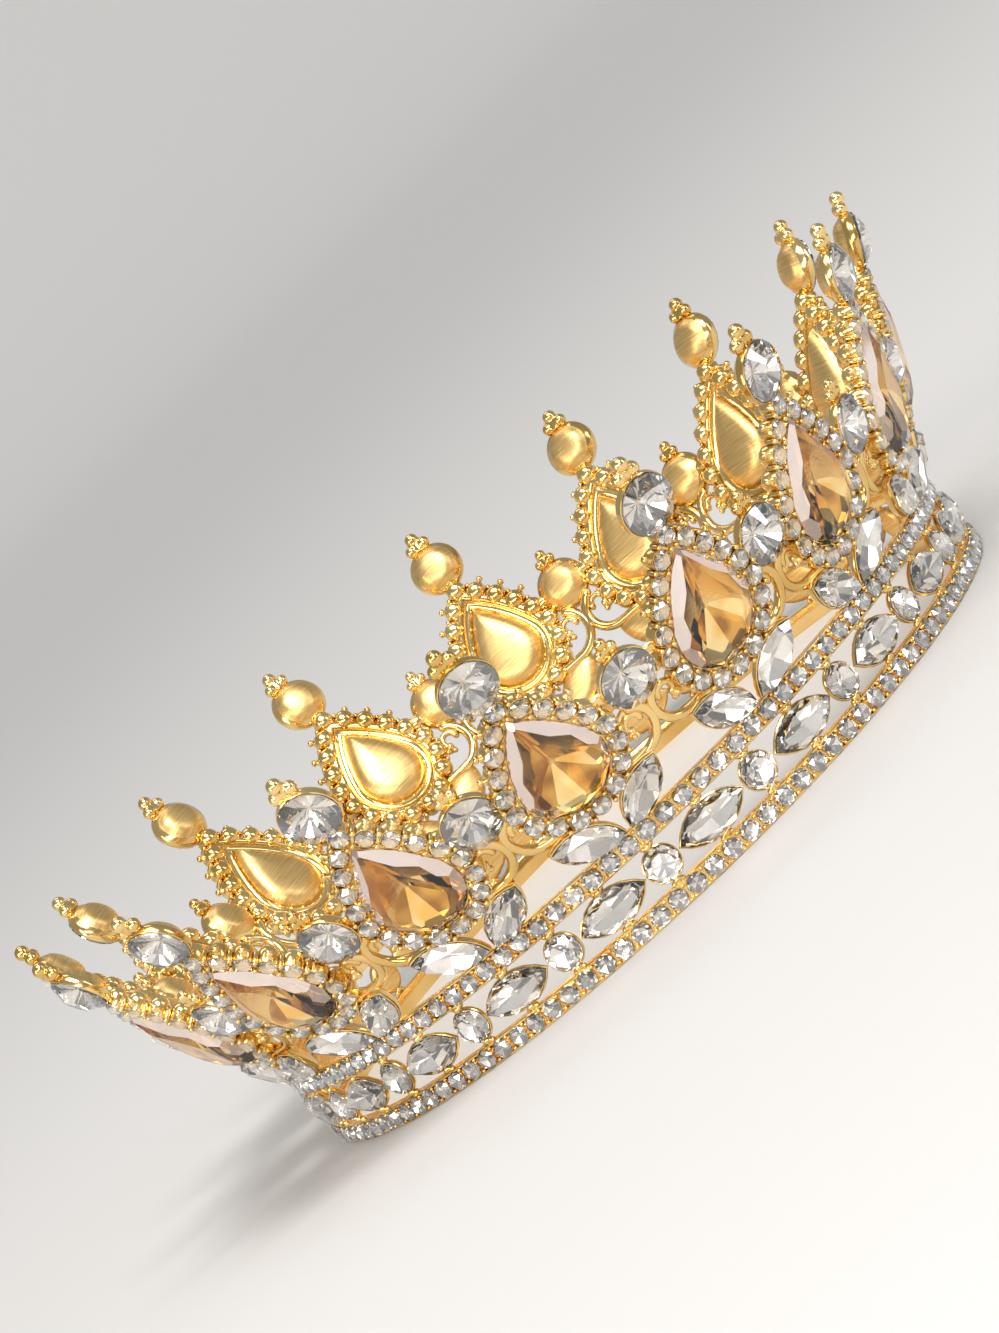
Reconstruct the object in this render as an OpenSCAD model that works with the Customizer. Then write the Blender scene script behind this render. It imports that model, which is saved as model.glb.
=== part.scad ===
// A full round crown of gilt cast metal. Sixteen units with a champagne teardrop in a halo
// stand on a pierced band, with a clear round on each point and one between each two units.
// The base lies on z = 0, the axis is Z, and unit 1 faces +X. Millimetres.

/* [Band] */
// Outer diameter of the band
base_d = 132; // [124:1:140]
// Height of the band over both rails
band_h = 13.4; // [13.2:0.2:14.4]
// Height of one rail
rail_h = 3.2; // [2.8:0.1:3.3]
// Thickness of a rail, inside to outside
rail_t = 1.9; // [1.7:0.1:2.4]
// Repeats of one round and one navette between the rails
band_repeats = 22; // [20:1:22]

/* [Units] */
// Units round the crown
units = 16; // [14:1:16]
// Lean of the units outward from the vertical, in degrees
flare = 27; // [20:1:30]
// Height of a teardrop's centre above the band, along the lean
drop_y = 18.2; // [18:0.1:18.8]
// Height of the stone on the point above the teardrop's centre
top_y = 18.3; // [18:0.1:18.6]
// Height of the stone between two units above the band, along the lean
between_y = 19; // [18.6:0.1:19.4]

/* [Stones] */
// Diameter of the round stones on the points and between the units
round_d = 8.2; // [7.8:0.1:8.3]
// Radius of a teardrop's round end
drop_r = 6.8; // [6.6:0.1:6.9]
// Distance from the middle of the round end to the tip
drop_tip = 12.4; // [12.2:0.1:12.6]
// Length of a leaf stone over the band
leaf_l = 10.6; // [10:0.1:10.8]
// Width of a leaf stone over the band
leaf_w = 5.1; // [4.8:0.1:5.2]
// Length of a navette in the band
navette_l = 11.2; // [10.8:0.1:11.4]
// Width of a navette in the band
navette_w = 5.1; // [4.8:0.1:5.2]
// Diameter of a round in the band
band_round_d = 4.9; // [4.6:0.1:5]
// Small stones in the halo round a teardrop
halo_stones = 18; // [18:2:18]

/* [Setting] */
// Wall of a setting round a large stone
wall = 0.4; // [0.35:0.05:0.45]
// Play between a stone and its setting, all round
play = 0.12; // [0.11:0.01:0.15]
// Diameter of a small setting in a halo
halo_cup_d = 3.6; // [3.55:0.05:3.65]
// Diameter of the scroll wires
wire_d = 1.3; // [1.2:0.05:1.5]

/* [Hidden] */
$fn = 48;
base_r = base_d / 2;
rail_in = base_r - rail_t;
mid_h = band_h / 2;
unit_turn = 360 / units;
repeat_turn = 360 / band_repeats;

// The teardrop's outline: a round end, and two long arcs from it to the tip.
round_y = -2.4;
side_start = 20;
side_k = (drop_tip * drop_tip - drop_r * drop_r) / (2 * (drop_r - drop_tip * sin(side_start)));
side_x = -side_k * cos(side_start);
side_y = round_y - side_k * sin(side_start);

// Heights over the face of the units, which is z = 0 on a panel.
plate_back = -1.5;
halo_front = 0.9;
halo_seat = 0.5;
halo_seat_d = 2.8;
drop_front = 1.3;
drop_back = -2.9;
cup_front = 1.2;
cup_back = -2.7;
leaf_front = 1;
leaf_back = -1.7;
floor_t = 0.8;
cut = 1;

// A cut stone's proportions over its own width.
girdle_t = 0.3;
big_crown = 0.17;
small_crown = 0.2;
table_share = 0.56;
drop_middle = [0, -0.6];
round_facets = 16;
band_round_facets = 12;
navette_steps = 6;

// Heights of the girdles.
drop_girdle = drop_front - 0.7;
cup_girdle = cup_front - 0.6;
leaf_girdle = leaf_front - 0.5;

// Places on a panel: x along the band, y up the lean.
halo_out = 1.95;
drop_half_arc = (90 + side_start) * (drop_r + halo_out) * PI / 180;
side_r = side_k + drop_r;
tip_angle = acos(-side_x / (side_r + halo_out));
drop_half_side = (tip_angle - side_start) * (side_r + halo_out) * PI / 180;
halo_step = (drop_half_arc + drop_half_side) / (halo_stones / 2);
side_steps = 4;
side_root = 0.7;
side_inset = 0.03;
tip_beads = 3;
bead_r = 0.7;
bead_out = halo_cup_d / 2 + bead_r / 2;

leaf_x = 5.3;
leaf_y = 3.6;
leaf_turn = 33;
foot_in = 0.3;

// Balls over the cups, each pair and its top ball over the cup's edge.
ball_z = -0.7;
ball_x = 1.3;
ball_y = 0.45;
ball_r = 1.1;
finial_y = 2.1;
finial_r = 1.2;
stem_r = 0.8;
trefoil_x = 1.1;
trefoil_y = 0.45;
trefoil_r = 0.85;
trefoil_top_y = 1.85;
trefoil_top_r = 0.95;
web_w = 2;
web_back = -1.35;
web_front = -0.25;
web_over = 2.3;
tie_w = 1.5;

// A scroll: an arc from under the cup between two units, then straight into the halo's foot.
scroll_r = 4.2;
scroll_x = 4.6;
scroll_y = 11.2;
scroll_end = 9.3;
scroll_from = 120;
scroll_to = 271;
curl_r = 1.3;
curl_x = 3.2;
curl_y = 12.4;
curl_w = 1.1;
curl_from = -50;
curl_to = 180;
curl_ball_d = 1.4;
scroll_back = -1.45;
scroll_front = -0.25;

cup_d = round_d + 2 * (play + wall);
band_face = base_r + 0.3;
band_girdle = band_face - 0.5;
band_cup_in = rail_in + 0.4;
groove_t = 0.5;
groove_edge = 0.45;

function numbered(name, n) = [for (i = [1:n]) str(name, "_", i)];

GILT = "#d9a441";
CHAMPAGNE = "#c98a3c";
CLEAR = "#e8eef2";

// How far each unit is bent by hand out of the even form: more lean outward, and sway sideways,
// in degrees. The rows go round from the unit that faces +X.
LEAN = 0;
SWAY = 1;
bends = [
    [3, 3.3], [0, -1], [-2.5, 2], [-2.3, -2.8], [1, -2], [0, 1], [-1, 0], [1, -1],
    [0, 1], [1, 0], [-1, -1], [0, 1], [-3, 0.5], [-0.5, -2.5], [1.5, 0.5], [-1, -2.5]
];
function bend_of(i) = bends[(i + len(bends)) % len(bends)];
function bend_between(i) = (bend_of(i) + bend_of(i + 1)) / 2;

// Outlines, each a loop of points that turns anticlockwise.
function on_arc(r, a) = [r * cos(a), r * sin(a)];

// The teardrop grown by out, with n points on each long side and 3 n on the round end.
function pear(out, n) =
    let (r = drop_r + out,
         side = side_r + out,
         tip = acos(-side_x / side),
         right = [for (i = [0:n - 1])
                  on_arc(side, side_start + (tip - side_start) * i / n) + [side_x, side_y]],
         bottom = [for (i = [1:3 * n - 1])
                   on_arc(r, 180 - side_start + (180 + 2 * side_start) * i / (3 * n)) + [0, round_y]])
    concat(right,
           [[0, side_y + side * sin(tip)]],
           [for (i = [n - 1:-1:0]) [-right[i].x, right[i].y]],
           bottom);

// A navette, pointed at both ends of its length along x, with 2 n points.
function navette_radius(l, w) = (l * l / w + w) / 4;
function navette(l, w, n) =
    let (r = navette_radius(l, w),
         a = asin(l / 2 / r))
    concat([for (i = [0:n - 1]) [r * sin(a - 2 * a * i / n), w / 2 - r + r * cos(a - 2 * a * i / n)]],
           [for (i = [0:n - 1]) [-r * sin(a - 2 * a * i / n), r - w / 2 - r * cos(a - 2 * a * i / n)]]);

function disc(d, n) = [for (i = [0:n - 1]) on_arc(d / 2, 360 * i / n)];

// A point on the halo's line, s millimetres from the bottom along its right side.
function halo_turn(s) =
    s < drop_half_arc ? s / (drop_r + halo_out) * 180 / PI - 90
                      : side_start + (s - drop_half_arc) / (side_r + halo_out) * 180 / PI;
function halo_point(s, out) =
    s < drop_half_arc ? on_arc(drop_r + halo_out + out, halo_turn(s)) + [0, round_y]
                      : on_arc(side_r + halo_out + out, halo_turn(s)) + [side_x, side_y];

// A cut stone on an outline of an even number of points: its table, crown, girdle and pavilion.
module cut_stone(outline, width, crown, deep, middle = [0, 0]) {
    n = len(outline);
    t = n / 2;
    table = [for (i = [0:2:n - 1]) middle + (outline[i] - middle) * table_share];
    points = concat(
        [for (p = table) [p.x, p.y, girdle_t + crown * width]],
        [for (p = outline) [p.x, p.y, girdle_t]],
        [for (p = outline) [p.x, p.y, 0]],
        [[middle.x, middle.y, -deep]]);
    top = t;
    low = t + n;
    culet = t + 2 * n;
    faces = concat(
        [[for (i = [t - 1:-1:0]) i]],
        [for (i = [0:t - 1]) [i, top + 2 * i + 1, top + 2 * i]],
        [for (i = [0:t - 1]) [i, (i + 1) % t, top + 2 * i + 1]],
        [for (i = [0:t - 1]) [(i + 1) % t, top + (2 * i + 2) % n, top + 2 * i + 1]],
        [for (i = [0:n - 1]) [top + i, top + (i + 1) % n, low + (i + 1) % n, low + i]],
        [for (i = [0:n - 1]) [low + i, low + (i + 1) % n, culet]]);
    polyhedron(points, faces);
}

// A panel of the leaning wall: x along the band, y up the lean from the band's top, z outward.
module on_panel(turn, bend) {
    rotate([0, 0, turn]) translate([base_r - foot_in, 0, band_h]) rotate([0, flare + bend[LEAN], 0])
        rotate([90, 0, 90]) rotate([0, 0, bend[SWAY]]) children();
}

// The foot of unit i, and the foot of the cup between it and the next.
module on_unit(i) {
    on_panel(i * unit_turn, bend_of(i)) children();
}
module between_units(i) {
    on_panel((i + 0.5) * unit_turn, bend_between(i)) children();
}

// A place on the band: x along the band, y up, z outward from the axis.
module on_band(turn) {
    rotate([0, 0, turn]) translate([0, 0, mid_h]) rotate([90, 0, 90]) children();
}

module from_to(low, high) {
    translate([0, 0, low]) linear_extrude(height = high - low) children();
}

// The round end is a true circle, and the long sides meet it just inside its edge.
module pear_shape(out) {
    r = drop_r + out;
    right = concat([on_arc(side_root * r, side_start) + [0, round_y], on_arc(r - side_inset, side_start) + [0, round_y]],
                   [for (i = [1:side_steps - 1]) pear(out, side_steps)[i]]);
    n = len(right) - 1;
    translate([0, round_y]) circle(r = r);
    polygon(concat(right, [pear(out, side_steps)[side_steps]], [for (i = [n:-1:0]) [-right[i].x, right[i].y]]));
}

// A navette grown by out all round, from two equal arcs.
module navette_shape(l, w, out) {
    r = navette_radius(l, w);
    intersection() {
        translate([0, w / 2 - r]) circle(r = r + out);
        translate([0, r - w / 2]) circle(r = r + out);
    }
}

// The scalloped plate that carries the halo, with a bead outside the stones beside the tip.
module halo_plate() {
    from_to(plate_back, halo_front) {
        pear_shape(halo_out);
        for (side = [-1, 1], i = [0:halo_stones / 2]) {
            p = halo_point(i * halo_step, 0);
            if (side == 1 || (i > 0 && i < halo_stones / 2))
                translate([side * p.x, p.y]) circle(d = halo_cup_d);
        }
        for (side = [-1, 1], i = [1:tip_beads]) {
            p = halo_point((halo_stones / 2 - i) * halo_step, bead_out);
            translate([side * p.x, p.y]) circle(r = bead_r);
        }
    }
}

module halo_seats() {
    for (side = [-1, 1], i = [0:halo_stones / 2]) {
        p = halo_point(i * halo_step, 0);
        if (side == 1 || (i > 0 && i < halo_stones / 2))
            translate([side * p.x, p.y, halo_front - halo_seat]) cylinder(d = halo_seat_d, h = halo_seat + cut);
    }
}

module leaf_place(side) {
    translate([side * leaf_x, leaf_y - drop_y]) rotate(side * leaf_turn) children();
}

// Two balls side by side and one over them, on a short stem that starts inside the cup's wall.
module balls(x, y, r, top, top_r) {
    translate([0, -wall, 0]) rotate([-90, 0, 0]) cylinder(r = stem_r, h = wall + top);
    for (side = [-1, 1]) translate([side * x, y, 0]) sphere(r = r);
    translate([0, top, 0]) sphere(r = top_r);
}

// One unit without its pockets, with the teardrop's centre at the origin.
module unit_body() {
    halo_plate();
    from_to(drop_back, drop_front) pear_shape(play + wall);
    translate([0, top_y, cup_back]) cylinder(d = cup_d, h = cup_front - cup_back);
    translate([0, top_y + cup_d / 2, ball_z]) balls(ball_x, ball_y, ball_r, finial_y, finial_r);
    for (side = [-1, 1]) leaf_place(side) from_to(leaf_back, leaf_front)
        navette_shape(leaf_l, leaf_w, play + wall);
}

module unit_pockets() {
    halo_seats();
    from_to(drop_back + floor_t, drop_front + cut) pear_shape(play);
    translate([0, top_y, cup_back + floor_t]) cylinder(d = round_d + 2 * play, h = cup_front - cup_back);
    for (side = [-1, 1]) leaf_place(side) from_to(leaf_back + floor_t, leaf_front + cut)
        navette_shape(leaf_l, leaf_w, play);
}

// The cup between two units, its three balls, the web behind it and its two scrolls.
module between_body() {
    translate([0, 0, cup_back]) cylinder(d = cup_d, h = cup_front - cup_back);
    from_to(web_back, web_front) square([cup_d + 2 * web_over, web_w], center = true);
    translate([0, cup_d / 2, ball_z]) balls(trefoil_x, trefoil_y, trefoil_r, trefoil_top_y, trefoil_top_r);
    translate([0, -between_y]) from_to(scroll_back, scroll_front) {
        scroll();
        mirror([1, 0]) scroll();
    }
}

// A flat wire bent to an arc from one angle to another.
module bent_wire(r, w, from, to) {
    corner = (to - from) / 3;
    intersection() {
        difference() {
            circle(r = r + w / 2);
            circle(r = r - w / 2);
        }
        polygon(concat([[0, 0]], [for (i = [0:3]) on_arc(2 * r + w, from + i * corner)]));
    }
}

module scroll() {
    translate([scroll_x, scroll_y]) bent_wire(scroll_r, wire_d, scroll_from, scroll_to);
    translate([scroll_x, scroll_y - scroll_r - wire_d / 2]) square([scroll_end - scroll_x, wire_d]);
    translate([curl_x, curl_y]) {
        bent_wire(curl_r, curl_w, curl_from, curl_to);
        translate(on_arc(curl_r, curl_from)) circle(d = curl_ball_d);
    }
}

module between_pocket() {
    translate([0, 0, cup_back + floor_t]) cylinder(d = round_d + 2 * play, h = cup_front - cup_back);
}

// A rail with a shallow channel round its outside for the row of small stones.
module rail(z) {
    rotate_extrude() polygon([
        [rail_in, z], [base_r, z], [base_r, z + groove_edge], [base_r - groove_t, z + groove_edge],
        [base_r - groove_t, z + rail_h - groove_edge], [base_r, z + rail_h - groove_edge],
        [base_r, z + rail_h], [rail_in, z + rail_h]]);
}

// The settings in the band, each tied to both rails by a bead above and below.
module band_settings() {
    tie = band_h - rail_h;
    for (i = [0:band_repeats - 1]) {
        on_band(i * repeat_turn) from_to(band_cup_in, band_face) {
            circle(d = band_round_d + 2 * (play + wall));
            square([tie_w, tie], center = true);
        }
        on_band((i + 0.5) * repeat_turn) from_to(band_cup_in, band_face) {
            navette_shape(navette_l, navette_w, play + wall);
            square([tie_w, tie], center = true);
        }
    }
}

module band_pockets() {
    for (i = [0:band_repeats - 1]) {
        on_band(i * repeat_turn) from_to(band_cup_in + floor_t / 2, band_face + cut)
            circle(d = band_round_d + 2 * play);
        on_band((i + 0.5) * repeat_turn) from_to(band_cup_in + floor_t / 2, band_face + cut)
            navette_shape(navette_l, navette_w, play);
    }
}

// The gilt casting: the band, the units and all settings in one piece.
module frame() {
    color(GILT) {
        rail(0);
        rail(band_h - rail_h);
        difference() {
            band_settings();
            band_pockets();
        }
        for (i = [0:units - 1]) {
            difference() {
                on_unit(i) translate([0, drop_y]) difference() {
                    unit_body();
                    unit_pockets();
                }
                for (side = [0, -1]) between_units(i + side) translate([0, between_y]) between_pocket();
            }
            between_units(i) translate([0, between_y]) difference() {
                between_body();
                between_pocket();
            }
        }
    }
}

module teardrop_stone() {
    translate([0, 0, drop_girdle])
        cut_stone(pear(0, side_steps), 2 * drop_r, big_crown, drop_girdle - drop_back - floor_t - play, drop_middle);
}

module round_stone() {
    translate([0, 0, cup_girdle])
        cut_stone(disc(round_d, round_facets), round_d, small_crown, cup_girdle - cup_back - floor_t - play);
}

module teardrop(i) {
    color(CHAMPAGNE) on_unit(i - 1) translate([0, drop_y]) teardrop_stone();
}

module point_stone(i) {
    color(CLEAR) on_unit(i - 1) translate([0, drop_y + top_y]) round_stone();
}

module between_stones() {
    color(CLEAR) for (i = [0:units - 1])
        between_units(i) translate([0, between_y]) round_stone();
}

module leaf_stones() {
    color(CLEAR) for (i = [0:units - 1], side = [-1, 1])
        on_unit(i) translate([0, drop_y]) leaf_place(side) translate([0, 0, leaf_girdle])
            cut_stone(navette(leaf_l, leaf_w, navette_steps), leaf_w, small_crown,
                      leaf_girdle - leaf_back - floor_t - play);
}

band_stone_deep = band_girdle - band_cup_in - floor_t / 2 - play;

module band_navettes() {
    color(CLEAR) for (i = [0:band_repeats - 1])
        on_band((i + 0.5) * repeat_turn) translate([0, 0, band_girdle])
            cut_stone(navette(navette_l, navette_w, navette_steps), navette_w, small_crown, band_stone_deep);
}

module band_rounds() {
    color(CLEAR) for (i = [0:band_repeats - 1])
        on_band(i * repeat_turn) translate([0, 0, band_girdle])
            cut_stone(disc(band_round_d, band_round_facets), band_round_d, small_crown, band_stone_deep);
}

frame();
for (i = [1:units]) teardrop(i);
for (i = [1:units]) point_stone(i);
between_stones();
leaf_stones();
band_navettes();
band_rounds();
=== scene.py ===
import math

import bmesh
import bpy
from mathutils import Matrix, Vector


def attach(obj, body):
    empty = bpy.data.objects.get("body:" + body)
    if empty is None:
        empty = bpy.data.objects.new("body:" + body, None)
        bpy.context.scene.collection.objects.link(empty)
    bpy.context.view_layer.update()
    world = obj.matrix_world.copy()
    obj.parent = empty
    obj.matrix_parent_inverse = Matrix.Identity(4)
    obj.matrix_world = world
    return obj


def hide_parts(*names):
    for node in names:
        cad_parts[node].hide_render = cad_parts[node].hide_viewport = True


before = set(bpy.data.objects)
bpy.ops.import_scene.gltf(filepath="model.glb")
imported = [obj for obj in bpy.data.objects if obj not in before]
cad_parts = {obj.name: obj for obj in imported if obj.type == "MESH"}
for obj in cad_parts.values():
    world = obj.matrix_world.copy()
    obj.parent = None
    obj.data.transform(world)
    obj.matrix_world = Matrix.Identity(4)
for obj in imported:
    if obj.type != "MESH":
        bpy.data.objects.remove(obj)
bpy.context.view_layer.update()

# The crown's sizes are those of its solids, in millimetres.
MM = 0.001
# The band's outside radius and height, its rails' height and thickness, and what goes round it.
BASE_R, BAND_H = 66, 13.4
RAIL_H, RAIL_T = 3.2, 1.9
UNITS = 16
REPEATS = 22
RAIL_STONES = 120
# The units lean out by this many degrees, from a foot that stands just inside the band's top edge.
FLARE = 27
FOOT_IN = 0.3
# How far up the lean the teardrops and the rounds between them stand, and a point's round over its teardrop.
DROP_Y, BETWEEN_Y = 18.2, 19
TOP_Y = 18.3
# The stones: rounds, teardrops with their tip, the leaves at the foot, and those of the band.
ROUND_R = 4.1
DROP_R, DROP_TIP = 6.8, 12.4
LEAF_L, LEAF_W = 10.6, 5.1
LEAF_X, LEAF_Y, LEAF_TURN = 5.3, 3.6, 33
NAVETTE_L, NAVETTE_W = 11.2, 5.1
BAND_ROUND_R = 2.45
SMALL_R = 1.5
# A teardrop's outline is a round below and two long arcs above, which leave the round at SIDE_START.
ROUND_Y = -2.4
SIDE_START = math.radians(20)
SIDE_K = (DROP_TIP**2 - DROP_R**2) / (2 * (DROP_R - DROP_TIP * math.sin(SIDE_START)))
SIDE_X = -SIDE_K * math.cos(SIDE_START)
SIDE_Y = ROUND_Y - SIDE_K * math.sin(SIDE_START)
SIDE_R = SIDE_K + DROP_R
# A halo's small stones: how many, their distance from the teardrop and the height of their girdles. Claws stand on
# both sides of their row, and spikes beside the tip.
HALO, HALO_OUT, HALO_SEAT = 18, 1.95, 0.68
CLAW_OUT = 1.12
TIP_SPIKES, SPIKE_Z = 3, -0.15
# Fronts and backs of the settings, as heights over the wall or distances from the axis.
PLAY, WALL = 0.12, 0.4
CUP_FRONT, CUP_BACK = 1.2, -2.7
DROP_FRONT = 1.3
LEAF_FRONT, LEAF_BACK = 1.0, -1.7
BAND_FACE, BAND_BACK = BASE_R + 0.3, BASE_R - RAIL_T + 0.4
# The stones cover the rims of their cups, but for a fine line of gold, so the rims end under the girdles.
OVER_RIM = 0.27
DROP_RIM, CUP_RIM, LEAF_RIM = 0.55, 0.55, 0.45
BAND_RIM = BAND_FACE - 0.55
# Lean and sway of each unit, in degrees, from the unit that faces +X.
BENDS = [
    (3, 3.3), (0, -1), (-2.5, 2), (-2.3, -2.8), (1, -2), (0, 1), (-1, 0), (1, -1),
    (0, 1), (1, 0), (-1, -1), (0, 1), (-3, 0.5), (-0.5, -2.5), (1.5, 0.5), (-1, -2.5),
]


# Finishes.
def linear(hex_colour):
    """An sRGB hex colour as linear values."""
    out = []
    for k in (1, 3, 5):
        c = int(hex_colour[k:k + 2], 16) / 255
        out.append(c / 12.92 if c <= 0.04045 else ((c + 0.055) / 1.055) ** 2.4)
    return (*out, 1)


def finish_named(name):
    """A new material with no nodes yet."""
    m = bpy.data.materials.new(name)
    m.use_nodes = True
    m.node_tree.nodes.clear()
    return m


def node(m, kind, settings=(), **links):
    """One node with its settings by socket or property name, and its inputs linked by socket name."""
    n = m.node_tree.nodes.new(kind)
    for key, value in dict(settings).items():
        if key in n.inputs:
            n.inputs[key].default_value = value
        else:
            setattr(n, key, value)
    for key, source in links.items():
        m.node_tree.links.new(source, n.inputs[key.replace("_", " ")])
    return n


def gilt_cast():
    """Yellow gold plated on polished cast brass: bright and warm, slightly uneven from the casting."""
    m = finish_named("gilt_cast_brass")
    place = node(m, "ShaderNodeTexCoord").outputs["Object"]
    # The cast skin undulates over about 1.5 mm; the polish leaves it only just visible.
    waves = node(m, "ShaderNodeTexNoise", {"Scale": 650, "Detail": 2}, Vector=place)
    cloud = node(m, "ShaderNodeTexNoise", {"Scale": 90, "Detail": 1}, Vector=place)
    tone = node(m, "ShaderNodeValToRGB", Fac=cloud.outputs["Fac"])
    tone.color_ramp.elements[0].position = 0.35
    tone.color_ramp.elements[0].color = linear("#DDB66C")
    tone.color_ramp.elements[1].position = 0.65
    tone.color_ramp.elements[1].color = linear("#FADA97")
    rough = node(m, "ShaderNodeMapRange", {"To Min": 0.1, "To Max": 0.22}, Value=waves.outputs["Fac"])
    bump = node(m, "ShaderNodeBump", {"Strength": 0.35, "Distance": 0.00012}, Height=waves.outputs["Fac"])
    shader = node(m, "ShaderNodeBsdfPrincipled", {"Metallic": 1.0}, Base_Color=tone.outputs["Color"],
                  Roughness=rough.outputs["Result"], Normal=bump.outputs["Normal"])
    node(m, "ShaderNodeOutputMaterial", Surface=shader.outputs["BSDF"])
    return m


def gilt_brushed():
    """The same gold on the brushed backs of the settings: softer, with fine lines across each."""
    m = finish_named("gilt_brushed_brass")
    across = node(m, "ShaderNodeUVMap", {"uv_map": "across"}).outputs["UV"]
    # The lines lie about 0.3 mm apart and run some 6 mm.
    stretch = node(m, "ShaderNodeMapping", {"Scale": (0.17, 3.4, 1)}, Vector=across)
    lines = node(m, "ShaderNodeTexNoise", {"Scale": 1.0, "Detail": 3}, Vector=stretch.outputs["Vector"])
    tone = node(m, "ShaderNodeValToRGB", Fac=lines.outputs["Fac"])
    tone.color_ramp.elements[0].position = 0.3
    tone.color_ramp.elements[0].color = linear("#DAB067")
    tone.color_ramp.elements[1].position = 0.7
    tone.color_ramp.elements[1].color = linear("#F6D492")
    bump = node(m, "ShaderNodeBump", {"Strength": 0.6, "Distance": 0.00008}, Height=lines.outputs["Fac"])
    shader = node(m, "ShaderNodeBsdfPrincipled", {"Metallic": 1.0, "Roughness": 0.37},
                  Base_Color=tone.outputs["Color"], Normal=bump.outputs["Normal"])
    node(m, "ShaderNodeOutputMaterial", Surface=shader.outputs["BSDF"])
    return m


def cut_glass(name, tint, bend, lustre=0.0):
    """Cut and fire-polished crystal glass: mirror-smooth, clear or tinted right through. Bend is its IOR, and lustre
    the share of light that a thin metal coat on its facets reflects."""
    m = finish_named(name)
    shader = node(m, "ShaderNodeBsdfPrincipled",
                  {"Base Color": linear(tint), "Roughness": 0.01, "IOR": bend, "Transmission Weight": 1.0,
                   "Metallic": lustre})
    node(m, "ShaderNodeOutputMaterial", Surface=shader.outputs["BSDF"])
    return m


def foil(name, dark, light, rough):
    """Mirror foil on the back of a stone, seen through it. Its tone changes over about 3 mm, so that each facet takes
    it a little differently."""
    m = finish_named(name)
    place = node(m, "ShaderNodeTexCoord").outputs["Object"]
    patch = node(m, "ShaderNodeTexNoise", {"Scale": 300, "Detail": 0}, Vector=place)
    tone = node(m, "ShaderNodeValToRGB", Fac=patch.outputs["Fac"])
    tone.color_ramp.elements[0].position = 0.35
    tone.color_ramp.elements[0].color = linear(dark)
    tone.color_ramp.elements[1].position = 0.65
    tone.color_ramp.elements[1].color = linear(light)
    shader = node(m, "ShaderNodeBsdfPrincipled", {"Metallic": 1.0, "Roughness": rough},
                  Base_Color=tone.outputs["Color"])
    node(m, "ShaderNodeOutputMaterial", Surface=shader.outputs["BSDF"])
    return m


GILT = gilt_cast()
BRUSHED = gilt_brushed()
# Crystal glass bends light by about 1.5, and its polish adds a little mirror, more so on the smallest stones.
CLEAR = cut_glass("clear_crystal_glass", "#FFFFFF", 1.52, 0.2)
SMALL_CLEAR = cut_glass("small_crystal_glass", "#FFFFFF", 1.5, 0.3)
SILVER_FOIL = foil("silver_foil", "#F3EDE4", "#FFFAF3", 0.06)
# The facets round a clear stone's culet look grey and dark, as they throw the light away from the eye. A darker foil
# # on some of them paints in that shade.
PAINTED_SHADE_FOIL = foil("painted_shade_silver_foil", "#5E5B57", "#ABA69F", 0.06)
# The champagne glass is nearly clear itself. Its colour comes from the amber foil behind, and a pink-white lustre on
# the facets towards the tip hides that foil.
CHAMPAGNE = cut_glass("champagne_crystal_glass", "#FFF6E6", 1.62)
LUSTRE = cut_glass("champagne_lustre_glass", "#FFF0E8", 1.62, 0.75)
FAINT_LUSTRE = cut_glass("champagne_faint_lustre_glass", "#FFE9D8", 1.62, 0.4)
AMBER_FOIL = foil("amber_foil", "#FFCE6E", "#FFEBB0", 0.02)
# A darker amber foil on some back facets is painted shade, for the dark facets that the cut gives the stone.
PAINTED_SHADE_AMBER_FOIL = foil("painted_shade_amber_foil", "#A87628", "#E2AE50", 0.03)


# Outlines, each a loop of points that turns anticlockwise.
def on_arc(r, a, x=0.0, y=0.0):
    """A point at radius r and angle a, in radians, round (x, y)."""
    return (x + r * math.cos(a), y + r * math.sin(a))


def disc(sides):
    """A round outline, which takes its radius."""
    return lambda r: [on_arc(r, 2 * math.pi * i / sides) for i in range(sides)]


def pear(steps):
    """The teardrop's outline grown by out, with this many points on each long side and three times as many below."""
    def grown(out):
        side = SIDE_R + out
        tip = math.acos(-SIDE_X / side)
        right = [on_arc(side, SIDE_START + (tip - SIDE_START) * i / steps, SIDE_X, SIDE_Y) for i in range(steps)]
        below = [on_arc(DROP_R + out, math.pi - SIDE_START + (math.pi + 2 * SIDE_START) * i / (3 * steps), 0, ROUND_Y)
                 for i in range(1, 3 * steps)]
        return right + [(0, SIDE_Y + side * math.sin(tip))] + [(-x, y) for x, y in reversed(right)] + below
    return grown


def navette(length, width, steps):
    """A navette's outline grown by out: two equal arcs, pointed at both ends of X."""
    def grown(out):
        middle = (length**2 / width + width) / 4
        r = middle + out
        drop = middle - width / 2
        a = math.acos(min(1, drop / r))
        top = [(r * math.sin(a - 2 * a * i / steps), r * math.cos(a - 2 * a * i / steps) - drop) for i in range(steps)]
        return top + [(-x, -y) for x, y in top]
    return grown


def halo_point(s, out=0.0):
    """The place and the outward direction at s millimetres along the halo, from the foot up its right side."""
    half_arc = (math.pi / 2 + SIDE_START) * (DROP_R + HALO_OUT)
    if s < half_arc:
        turn = s / (DROP_R + HALO_OUT) - math.pi / 2
        return on_arc(DROP_R + HALO_OUT + out, turn, 0, ROUND_Y), turn
    turn = SIDE_START + (s - half_arc) / (SIDE_R + HALO_OUT)
    return on_arc(SIDE_R + HALO_OUT + out, turn, SIDE_X, SIDE_Y), turn


HALO_TIP = math.acos(-SIDE_X / (SIDE_R + HALO_OUT))
HALO_STEP = ((math.pi / 2 + SIDE_START) * (DROP_R + HALO_OUT)
             + (HALO_TIP - SIDE_START) * (SIDE_R + HALO_OUT)) / (HALO / 2)


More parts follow.
